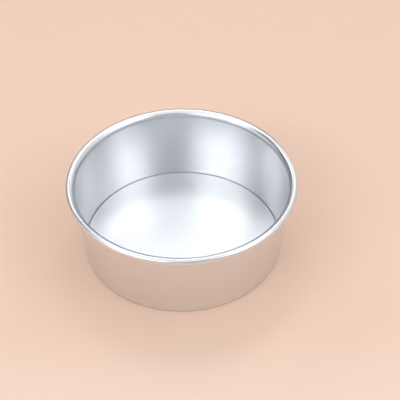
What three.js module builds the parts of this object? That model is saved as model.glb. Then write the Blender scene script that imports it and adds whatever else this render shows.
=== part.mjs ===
// Round cake pan with a loose bottom, in millimetres, +Z up.
// The origin is the centre of the foot, on the surface that the pan stands on.
// It is two pieces of anodised aluminium sheet. The wall ring is one sheet: a tapered wall, flared and rolled outwards
// into a hollow rim at the mouth and bent inwards into a flat seat at the foot. The base is a flat disc that lies on
// the seat, and that a hand under the pan pushes up and out with the cake on it.
import * as THREE from 'three';

// Driving dimensions
const panHeight = 79; // from the foot to the top of the rim
const mouthDiameter = 204; // inside the rim's round section
const footDiameter = 192; // inside the wall, carried down to the top of the seat
const sheetThickness = 1;
const rimDiameter = 6.8; // outside of the rim's round section
const rimSlit = 0.6; // left open between the rim's cut edge and the flare
const flareRadius = 8.5; // inside of the bend that leads the wall out into the rim
const flareTurn = THREE.MathUtils.degToRad(50); // how far the flare has turned outwards where the rim takes over
const footBendRadius = 0.8; // inside of the bend from wall to seat
const seatWidth = 10; // from the inside of the wall to the edge of the hole under the base
const baseThickness = 1.2;
const baseClearance = 0.25; // from where the base's underside starts to round off to where the foot bend starts
const baseEdgeRadius = 0.4; // rounded edges of the base

// Finishes: satin anodised aluminium
const wallFinish = { color: 0xd2d5da, roughness: 0.3, metalness: 1 };
const baseFinish = { color: 0xdadde1, roughness: 0.35, metalness: 1 };

// Facets
const segmentsRound = 96;
const largestChordTurn = Math.PI / 10; // turn of one chord along a bend

// The rim's round section, and the flare that meets it without a step
const rimRadius = rimDiameter / 2;
const rimCentre = new THREE.Vector2(mouthDiameter / 2 + rimRadius, panHeight - rimRadius);
const centresApart = flareRadius - rimRadius;
const flareCentre = new THREE.Vector2(
  rimCentre.x + centresApart * Math.cos(flareTurn),
  rimCentre.y - centresApart * Math.sin(flareTurn),
);

// The wall: a straight line that leans outwards, from the top of the seat until it touches the flare
const footRadius = footDiameter / 2;
const footToFlare = flareCentre.clone().sub(new THREE.Vector2(footRadius, sheetThickness));
const wallLean = Math.atan2(footToFlare.x, footToFlare.y) - Math.asin(flareRadius / footToFlare.length());

function insideRadiusAt(height) {
  return footRadius + (height - sheetThickness) * Math.tan(wallLean);
}

// The bend at the foot touches the seat and the inside of the wall
const footBendHeight = sheetThickness + footBendRadius;
const footBendCentre = new THREE.Vector2(
  insideRadiusAt(footBendHeight) - footBendRadius / Math.cos(wallLean),
  footBendHeight,
);

// Points of an arc between two angles, in a section whose x is the radius and whose y is the height.
function arc(centre, radius, fromAngle, toAngle) {
  const chords = Math.ceil(Math.abs(toAngle - fromAngle) / largestChordTurn);
  return Array.from({ length: chords + 1 }, (_, index) => {
    const angle = THREE.MathUtils.lerp(fromAngle, toAngle, index / chords);
    return new THREE.Vector2(Math.cos(angle), Math.sin(angle)).multiplyScalar(radius).add(centre);
  });
}

// A section turned about the pan's axis.
function revolve(section) {
  return new THREE.LatheGeometry(section, segmentsRound).rotateX(Math.PI / 2);
}

// One sheet of even thickness, followed along its outer side from the seat's edge to the rim's cut edge, and back
// along its inner side. The roll stops where its cut edge would leave less than the slit to the flare: the edge's corner
// and the centres of rim and flare are a triangle with three known sides.
function wallRingSection() {
  const flareStart = Math.PI - wallLean;
  const flareEnd = Math.PI - flareTurn;
  const hollowRadius = rimRadius - sheetThickness;
  const cutEdgeReach = flareRadius - sheetThickness - rimSlit;
  const cutEdgeTurn = Math.acos(
    (rimRadius ** 2 + centresApart ** 2 - cutEdgeReach ** 2) / (2 * rimRadius * centresApart),
  );
  const rollEnd = -flareTurn - cutEdgeTurn;
  const seatEdgeRadius = footRadius - seatWidth;
  const seatEdgeUnder = new THREE.Vector2(seatEdgeRadius, 0);
  const seatEdgeTop = new THREE.Vector2(seatEdgeRadius, sheetThickness);
  return [
    seatEdgeUnder,
    ...arc(footBendCentre, footBendRadius + sheetThickness, -Math.PI / 2, -wallLean),
    ...arc(flareCentre, flareRadius - sheetThickness, flareStart, flareEnd),
    ...arc(rimCentre, hollowRadius, flareEnd, rollEnd).slice(1),
    ...arc(rimCentre, rimRadius, rollEnd, flareEnd),
    ...arc(flareCentre, flareRadius, flareEnd, flareStart).slice(1),
    ...arc(footBendCentre, footBendRadius, -wallLean, -Math.PI / 2),
    seatEdgeTop,
    seatEdgeUnder,
  ];
}

// A flat disc whose underside ends just inside the foot bend. Both its edges are rounded, by no more than a third of its
// thickness, and the lower round reaches over the start of the bend without touching it.
function looseBaseSection() {
  const edgeRadius = Math.min(baseEdgeRadius, baseThickness / 3);
  const edgeCentreRadius = footBendCentre.x - baseClearance;
  const lowerEdgeCentre = new THREE.Vector2(edgeCentreRadius, edgeRadius);
  const upperEdgeCentre = new THREE.Vector2(edgeCentreRadius, baseThickness - edgeRadius);
  return [
    new THREE.Vector2(0, 0),
    ...arc(lowerEdgeCentre, edgeRadius, -Math.PI / 2, 0),
    ...arc(upperEdgeCentre, edgeRadius, 0, Math.PI / 2),
    new THREE.Vector2(0, baseThickness),
  ];
}

const wallRing = new THREE.Mesh(revolve(wallRingSection()), new THREE.MeshStandardMaterial(wallFinish));
wallRing.name = 'wall_ring';

const looseBase = new THREE.Mesh(revolve(looseBaseSection()), new THREE.MeshStandardMaterial(baseFinish));
looseBase.name = 'loose_base';
looseBase.position.z = sheetThickness;

const cakePan = new THREE.Group();
cakePan.add(wallRing, looseBase);

export default cakePan;
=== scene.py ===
"""Round cake pan with a loose bottom, in satin anodised aluminium: its looks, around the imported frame."""

from math import acos, asin, atan2, ceil, cos, hypot, pi, radians, sin, tan

import bpy
import numpy as np
from mathutils import Matrix, Vector


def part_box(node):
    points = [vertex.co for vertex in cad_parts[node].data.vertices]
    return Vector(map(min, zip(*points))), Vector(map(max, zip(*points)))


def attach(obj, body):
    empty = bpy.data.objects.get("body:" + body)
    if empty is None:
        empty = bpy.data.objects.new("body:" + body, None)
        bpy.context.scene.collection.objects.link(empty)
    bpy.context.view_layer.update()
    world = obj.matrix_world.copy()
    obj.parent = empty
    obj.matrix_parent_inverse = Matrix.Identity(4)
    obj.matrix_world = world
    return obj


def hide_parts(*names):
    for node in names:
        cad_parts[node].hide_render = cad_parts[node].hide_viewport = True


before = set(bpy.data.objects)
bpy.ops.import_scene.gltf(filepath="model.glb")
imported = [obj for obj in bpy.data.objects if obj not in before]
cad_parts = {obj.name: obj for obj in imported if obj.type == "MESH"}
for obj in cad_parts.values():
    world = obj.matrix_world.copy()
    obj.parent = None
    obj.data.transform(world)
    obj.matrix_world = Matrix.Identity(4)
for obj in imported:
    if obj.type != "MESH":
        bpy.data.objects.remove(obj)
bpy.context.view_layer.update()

# Sizes of the sheet metal, in metres
SHEET = 0.001
RIM_RADIUS = 0.0034
RIM_SLIT = 0.0006
FLARE_RADIUS = 0.0085
FLARE_TURN = radians(50)
FOOT_BEND_RADIUS = 0.0008
FOOT_INSIDE_RADIUS = 0.096
SEAT_WIDTH = 0.010
BASE_EDGE_RADIUS = 0.0004
CUT_EDGE_RADIUS = 0.0002

# Fineness of the surfaces
ROUND_STEPS = 360
ARC_STEP = radians(6)
MIDDLE_RADIUS = 0.002

# Patterns of the finishes: how fine they are along x, y and z, per metre, and how many finer layers they hold
CLOUDS = ((22, 22, 22), 3)
GRAIN = ((2600, 2600, 2600), 1)
SPUN_LINES = ((35, 35, 1900), 2)
ROLLED_LINES = ((30, 1500, 30), 2)
MOTTLE = ((30, 30, 30), 3)
FIBRES = ((900, 900, 900), 2)

# Strength of the patterns on the metal
NOISE_SPAN = (0.3, 0.7)
LINE_RELIEF = 0.55
GRAIN_RELIEF = 0.45
RELIEF_DEPTH = 4e-6
CLOUD_TINT = 0.7
RELIEF_TINT = 0.3
ROUGHNESS_DRIFT = 0.022

# Satin aluminium: its deeper colour, its paler colour and its roughness
WALL_SATIN = ((0.785, 0.79, 0.805), (0.815, 0.818, 0.83), 0.303)
BASE_SATIN = ((0.795, 0.8, 0.812), (0.82, 0.824, 0.835), 0.39)

# Peach paper under the pan, and the distances over which its far part fades into one tone. The paper's colour
# carries painted shade and light: it is deeper and warmer from just in front of the pan backwards, where the
# pan's shadow falls, and paler towards the front
FLOOR_REACH = 12.5
# Painted shade and light: the deep colour stands for the paper in the pan's shadow and behind it, and the
# pale one for the lit front. They blend over the given depths, with the given shares of the pale colour at
# both ends
PAPER_BACK_AND_SHADE = (0.839, 0.578, 0.436)
PAPER_PAINTED_FRONT_LIGHT = (0.864, 0.653, 0.536)
PAINTED_SHADE_SWEEP = (-0.22, -0.1)
PAINTED_LIGHT_SHARES = (0.8, 0.1)
PAPER_FAR = (0.87, 0.67, 0.565)
PAPER_FADE = (0.8, 1.6)
PAPER_ROUGHNESS = 0.9
PAPER_GLOSS = 0.1
PAPER_MOTTLE = 0.1
FIBRE_STRENGTH = 0.3
FIBRE_DEPTH = 2e-5

# Softboxes all stand this far from the pan, and share the cool light of flash tubes with a weak sky
LIGHT_DISTANCE = 1.6
COOL_LIGHT = (0.932, 0.966, 1)
SKY_STRENGTH = 0.04

# Camera, at the photograph's viewing angle
LENS_MM = 83.25
CLIP_RANGE = (0.01, 50)
CAMERA_DISTANCE = 0.92193
CAMERA_ELEVATION = radians(45.047)
CAMERA_TURN_RIGHT = 0.0193
CAMERA_TURN_UP = 0.03987
CAMERA_ROLL = radians(-1.144)

# Places taken from the frame
RING_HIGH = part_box("wall_ring")[1]
BASE_LOW, BASE_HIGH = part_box("loose_base")
RIM_CENTRE = np.array([RING_HIGH.x - RIM_RADIUS, RING_HIGH.z - RIM_RADIUS])
SEAT_TOP = BASE_LOW.z
CENTRES_APART = FLARE_RADIUS - RIM_RADIUS
FLARE_CENTRE = RIM_CENTRE + CENTRES_APART * np.array([cos(FLARE_TURN), -sin(FLARE_TURN)])
FOOT_TO_FLARE = FLARE_CENTRE - np.array([FOOT_INSIDE_RADIUS, SEAT_TOP])
WALL_LEAN = atan2(*FOOT_TO_FLARE) - asin(FLARE_RADIUS / hypot(*FOOT_TO_FLARE))


def arc(centre, radius, start, end, facing=1):
    """Points on a circle from the start angle to the end angle, with the normals that leave its centre.

    The columns are radius, height, and the normal's radius and height. Facing -1 turns the normals inwards.
    """
    steps = max(2, ceil(abs(end - start) / ARC_STEP))
    angle = np.linspace(start, end, steps + 1)
    out = np.column_stack([np.cos(angle), np.sin(angle)])
    return np.hstack([np.asarray(centre) + radius * out, facing * out])


def swept(radius, height):
    """Pairs of radius and height carried round the Z axis.

    x = radius cos turn, y = radius sin turn, z = height.
    """
    turn = np.arange(ROUND_STEPS) * 2 * pi / ROUND_STEPS
    level = np.outer(height, np.ones(ROUND_STEPS))
    grid = np.stack([np.outer(radius, np.cos(turn)), np.outer(radius, np.sin(turn)), level], axis=2)
    return grid.reshape(-1, 3)


def revolve(name, section, closed):
    """A section turned about the Z axis, with the section's own normals.

    A closed section meets itself. An open one starts and ends level beside the axis, and two points cap it.
    """
    radius, height, normal_radius, normal_height = section.T
    points = swept(radius, height)
    normals = swept(normal_radius, normal_height)
    rows = len(section)
    strips = np.arange(rows if closed else rows - 1)
    row, column = np.meshgrid(strips, np.arange(ROUND_STEPS), indexing="ij")
    next_row = (row + 1) % rows
    next_column = (column + 1) % ROUND_STEPS
    corners = [(row, column), (row, next_column), (next_row, next_column), (next_row, column)]
    faces = np.stack([r * ROUND_STEPS + c for r, c in corners], axis=2).reshape(-1, 4).tolist()
    if not closed:
        ring = np.arange(ROUND_STEPS)
        top = ring + (rows - 1) * ROUND_STEPS
        middles = len(points) + np.zeros_like(ring)
        faces += np.column_stack([middles, np.roll(ring, -1), ring]).tolist()
        faces += np.column_stack([middles + 1, top, np.roll(top, -1)]).tolist()
        points = np.vstack([points, [[0, 0, height[0]], [0, 0, height[-1]]]])
        normals = np.vstack([normals, [[0, 0, normal_height[0]], [0, 0, normal_height[-1]]]])
    mesh = bpy.data.meshes.new(name)
    mesh.from_pydata(points.tolist(), [], faces)
    mesh.shade_smooth()
    mesh.normals_split_custom_set_from_vertices(normals.tolist())
    mesh.update()
    piece = bpy.data.objects.new(name, mesh)
    bpy.context.scene.collection.objects.link(piece)
    return piece


def wall_ring_section():
    """One sheet of even thickness, followed up its outer side from the seat's edge and down its inner side.

    The foot is an arc from the flat seat to the leaning wall. The flare is a wide arc that leads the wall
    outwards. The rim is a tight one that takes over from it, rolls over, and stops at the slit before it
    meets the flare again: the cut edge's corner and the centres of rim and flare are a triangle with three
    known sides. The cut edges have small arcs on their corners.
    """
    inside_at_bend = FOOT_INSIDE_RADIUS + FOOT_BEND_RADIUS * tan(WALL_LEAN)
    bend = [inside_at_bend - FOOT_BEND_RADIUS / cos(WALL_LEAN), SEAT_TOP + FOOT_BEND_RADIUS]
    hollow = RIM_RADIUS - SHEET
    flare_start = pi - WALL_LEAN
    flare_end = pi - FLARE_TURN
    cut_reach = FLARE_RADIUS - SHEET - RIM_SLIT
    cut_turn = acos((RIM_RADIUS**2 + CENTRES_APART**2 - cut_reach**2) / (2 * RIM_RADIUS * CENTRES_APART))
    roll_end = -FLARE_TURN - cut_turn
    edge = CUT_EDGE_RADIUS
    seat_edge = FOOT_INSIDE_RADIUS - SEAT_WIDTH + edge
    out = np.array([cos(roll_end), sin(roll_end)])
    along = np.array([sin(roll_end), -cos(roll_end)])
    cut_inner = RIM_CENTRE + (hollow + edge) * out - edge * along
    cut_outer = RIM_CENTRE + (RIM_RADIUS - edge) * out - edge * along
    return np.vstack(
        [
            arc([seat_edge, edge], edge, -pi, -pi / 2),
            arc(bend, FOOT_BEND_RADIUS + SHEET, -pi / 2, -WALL_LEAN),
            arc(FLARE_CENTRE, FLARE_RADIUS - SHEET, flare_start, flare_end, -1),
            arc(RIM_CENTRE, hollow, flare_end, roll_end, -1)[1:],
            arc(cut_inner, edge, roll_end - pi, roll_end - pi / 2),
            arc(cut_outer, edge, roll_end - pi / 2, roll_end),
            arc(RIM_CENTRE, RIM_RADIUS, roll_end, flare_end),
            arc(FLARE_CENTRE, FLARE_RADIUS, flare_end, flare_start)[1:],
            arc(bend, FOOT_BEND_RADIUS, -WALL_LEAN, -pi / 2, -1),
            arc([seat_edge, SEAT_TOP - edge], edge, pi / 2, pi),
        ]
    )


def loose_base_section():
    """A flat disc from beside its axis out to its edge, which turns over two arcs, and back."""
    edge = BASE_EDGE_RADIUS
    turn = BASE_HIGH.x - edge
    return np.vstack(
        [
            [MIDDLE_RADIUS, BASE_LOW.z, 0, -1],
            arc([turn, BASE_LOW.z + edge], edge, -pi / 2, 0),
            arc([turn, BASE_HIGH.z - edge], edge, 0, pi / 2),
            [MIDDLE_RADIUS, BASE_HIGH.z, 0, 1],
        ]
    )


def add_node(tree, kind, inputs=None, **settings):
    """One shader node. Its inputs are constants, or sockets of other nodes to link."""
    node = tree.nodes.new(kind)
    for name, value in settings.items():
        setattr(node, name, value)
    for name, value in (inputs or {}).items():
        if isinstance(value, bpy.types.NodeSocket):
            tree.links.new(value, node.inputs[name])
        else:
            node.inputs[name].default_value = value
    return node


def noise(tree, place, pattern):
    """Fractal noise read at the place times the pattern's fineness."""
    fineness, layers = pattern
    scaled = add_node(tree, "ShaderNodeMapping", {"Vector": place, "Scale": fineness}).outputs["Vector"]
    texture = add_node(tree, "ShaderNodeTexNoise", {"Vector": scaled, "Scale": 1, "Detail": layers})
    return texture.outputs["Fac"]


def maths(tree, operation, first, second):
    """One sum, product or the like of two values."""
    return add_node(tree, "ShaderNodeMath", {0: first, 1: second}, operation=operation).outputs["Value"]


def mixed(tree, first, first_share, second, second_share):
    """The sum of two values, each times its share."""
    return maths(
        tree,
        "ADD",
        maths(tree, "MULTIPLY", first, first_share),
        maths(tree, "MULTIPLY", second, second_share),
    )


def spread(tree, value, span, low, high):
    """The value's span laid onto low to high in a smooth S, and held at the ends."""
    inputs = {"Value": value, "From Min": span[0], "From Max": span[1], "To Min": low, "To Max": high}
    return add_node(tree, "ShaderNodeMapRange", inputs, interpolation_type="SMOOTHSTEP").outputs["Result"]


def between(tree, value, span, first, second):
    """The colour that lies between two colours as the value lies in its span."""
    ramp = add_node(tree, "ShaderNodeValToRGB", {"Fac": value})
    for stop, position, colour in zip(ramp.color_ramp.elements, span, (first, second)):
        stop.position = position
        stop.color = (*colour, 1)
    return ramp.outputs["Color"]


def satin_aluminium(name, tool_lines, deep, pale, roughness):
    """Silver anodised aluminium, etched satin before it was anodised.

    Its bump is the height of the tool lines and of the etched grain. Its colour drifts from deep to pale, and
    its roughness a little to both sides of the given one, in wide clouds that lines and grain break up.
    """
    material = bpy.data.materials.new(name)
    material.use_nodes = True
    tree = material.node_tree
    place = add_node(tree, "ShaderNodeTexCoord").outputs["Object"]
    clouds = noise(tree, place, CLOUDS)
    lines = noise(tree, place, tool_lines)
    grain = noise(tree, place, GRAIN)
    relief = mixed(tree, lines, LINE_RELIEF, grain, GRAIN_RELIEF)
    tint = mixed(tree, clouds, CLOUD_TINT, relief, RELIEF_TINT)
    dull = spread(tree, tint, NOISE_SPAN, roughness - ROUGHNESS_DRIFT, roughness + ROUGHNESS_DRIFT)
    bump = add_node(tree, "ShaderNodeBump", {"Strength": 1, "Distance": RELIEF_DEPTH, "Height": relief})
    shader = tree.nodes["Principled BSDF"]
    shader.inputs["Metallic"].default_value = 1
    tree.links.new(between(tree, tint, NOISE_SPAN, deep, pale), shader.inputs["Base Color"])
    tree.links.new(dull, shader.inputs["Roughness"])
    tree.links.new(bump.outputs["Normal"], shader.inputs["Normal"])
    return material


def dress(piece, body, node, material):
    """The piece stands for a node, moves with its body and takes its finish."""
    piece.data.materials.append(material)
    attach(piece, body)
    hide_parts(node)


def peach_paper():
    """Peach paper with faint mottling and fibre, and painted shade and light: deeper and warmer from just in
    front of the pan backwards, where its shadow falls, and paler towards the front.

    Past the lamps it fades into an even pale tone, which is there for the eye and for mirrors, and which
    lights nothing.
    """
    material = bpy.data.materials.new("peach_paper")
    material.use_nodes = True
    tree = material.node_tree
    place = add_node(tree, "ShaderNodeTexCoord").outputs["Object"]
    depth = add_node(tree, "ShaderNodeSeparateXYZ", {"Vector": place}).outputs["Y"]
    mottle = maths(tree, "MULTIPLY", noise(tree, place, MOTTLE), PAPER_MOTTLE)
    fibre = noise(tree, place, FIBRES)
    # Painted shade and light by depth, deep by the pan and pale at the front, with the paper's own mottle
    # added
    painted_light_and_mottle = maths(tree, "ADD", spread(tree, depth, PAINTED_SHADE_SWEEP, *PAINTED_LIGHT_SHARES), mottle)
    nap = {"Strength": FIBRE_STRENGTH, "Distance": FIBRE_DEPTH, "Height": fibre}
    bump = add_node(tree, "ShaderNodeBump", nap)
    shader = tree.nodes["Principled BSDF"]
    shader.inputs["Roughness"].default_value = PAPER_ROUGHNESS
    shader.inputs["Specular IOR Level"].default_value = PAPER_GLOSS
    tree.links.new(between(tree, painted_light_and_mottle, (0, 1), PAPER_BACK_AND_SHADE, PAPER_PAINTED_FRONT_LIGHT), shader.inputs["Base Color"])
    tree.links.new(bump.outputs["Normal"], shader.inputs["Normal"])
    distance = add_node(tree, "ShaderNodeVectorMath", {0: place}, operation="LENGTH").outputs["Value"]
    rays = add_node(tree, "ShaderNodeLightPath").outputs
    mirrored = maths(tree, "MAXIMUM", rays["Is Glossy Ray"], rays["Is Transmission Ray"])
    seen = maths(tree, "MAXIMUM", rays["Is Camera Ray"], mirrored)
    far = maths(tree, "MULTIPLY", spread(tree, distance, PAPER_FADE, 0, 1), seen)
    tone = add_node(tree, "ShaderNodeEmission", {"Color": (*PAPER_FAR, 1), "Strength": 1}).outputs["Emission"]
    paper = add_node(tree, "ShaderNodeMixShader", {0: far, 1: shader.outputs["BSDF"], 2: tone})
    tree.links.new(paper.outputs["Shader"], tree.nodes["Material Output"].inputs["Surface"])
    material.cycles.emission_sampling = "NONE"
    return material


def paper_floor():
    """A flat square sheet of the paper, which reaches far out behind the lamps."""
    mesh = bpy.data.meshes.new("floor")
    corners = np.array([(-1, -1, 0), (1, -1, 0), (1, 1, 0), (-1, 1, 0)])
    mesh.from_pydata((FLOOR_REACH * corners).tolist(), [], [(0, 1, 2, 3)])
    mesh.materials.append(peach_paper())
    floor = bpy.data.objects.new("floor", mesh)
    bpy.context.scene.collection.objects.link(floor)


def softbox(name, azimuth, elevation, wide, tall, brightness):
    """A soft light that fills the given angles, in degrees, as seen from the pan.

    The azimuth counts from the camera towards the right. The light is as bright as a lit white sheet times
    brightness, so its power is brightness times pi times its area.
    """
    lamp = bpy.data.lights.new(name, "AREA")
    lamp.shape = "RECTANGLE"
    lamp.size = 2 * LIGHT_DISTANCE * tan(radians(wide) / 2)
    lamp.size_y = 2 * LIGHT_DISTANCE * tan(radians(tall) / 2)
    lamp.energy = brightness * pi * lamp.size * lamp.size_y
    lamp.color = COOL_LIGHT
    turn = radians(azimuth)
    rise = radians(elevation)
    towards = Vector((sin(turn) * cos(rise), -cos(turn) * cos(rise), sin(rise)))
    stand = bpy.data.objects.new(name, lamp)
    stand.location = towards * LIGHT_DISTANCE
    stand.rotation_euler = (-towards).to_track_quat("-Z", "Y").to_euler()
    stand.visible_camera = False
    bpy.context.scene.collection.objects.link(stand)


# The pan: its wall ring and its loose base
wall_finish = satin_aluminium("satin_wall", SPUN_LINES, *WALL_SATIN)
base_finish = satin_aluminium("satin_base", ROLLED_LINES, *BASE_SATIN)
ring = revolve("wall_ring_sheet", wall_ring_section(), True)
dress(ring, "ring", "wall_ring", wall_finish)
base = revolve("loose_base_disc", loose_base_section(), False)
dress(base, "base", "loose_base", base_finish)

# The studio: paper, softboxes and a weak sky
paper_floor()
softbox("left_softbox", -43, 39, 42, 12, 4.1)
softbox("right_softbox", 56, 37, 34, 10, 2.2)
softbox("front_softbox", 13, 69, 92, 56, 0.94)
softbox("right_wall", 103, 35, 102, 58, 0.84)
softbox("top_lamp", 177, 62, 21, 13, 4.1)
softbox("high_strip", -141, 64, 107, 21, 1.2)
softbox("back_strip", -144, 37, 39, 16, 2.4)
softbox("left_strip", -77, 17, 62, 10, 1.8)
softbox("front_strip", -6, 15, 110, 10, 1.45)
world = bpy.data.worlds.new("studio")
world.use_nodes = True
sky = world.node_tree.nodes["Background"]
sky.inputs["Color"].default_value = (*COOL_LIGHT, 1)
sky.inputs["Strength"].default_value = SKY_STRENGTH
bpy.context.scene.world = world

# The camera, turned from its aim at the origin until the pan sits in the frame as it does in the photograph
lens = bpy.data.cameras.new("camera")
lens.lens = LENS_MM
lens.clip_start, lens.clip_end = CLIP_RANGE
camera = bpy.data.objects.new("camera", lens)
bpy.context.scene.collection.objects.link(camera)
aim = Matrix.Rotation(pi / 2 - CAMERA_ELEVATION, 4, "X") @ Matrix.Rotation(-CAMERA_TURN_RIGHT, 4, "Y")
aim = aim @ Matrix.Rotation(CAMERA_TURN_UP, 4, "X") @ Matrix.Rotation(CAMERA_ROLL, 4, "Z")
viewpoint = Vector((0, -cos(CAMERA_ELEVATION), sin(CAMERA_ELEVATION))) * CAMERA_DISTANCE
camera.matrix_world = Matrix.Translation(viewpoint) @ aim
bpy.context.scene.camera = camera
bpy.context.scene.view_settings.view_transform = "Standard"
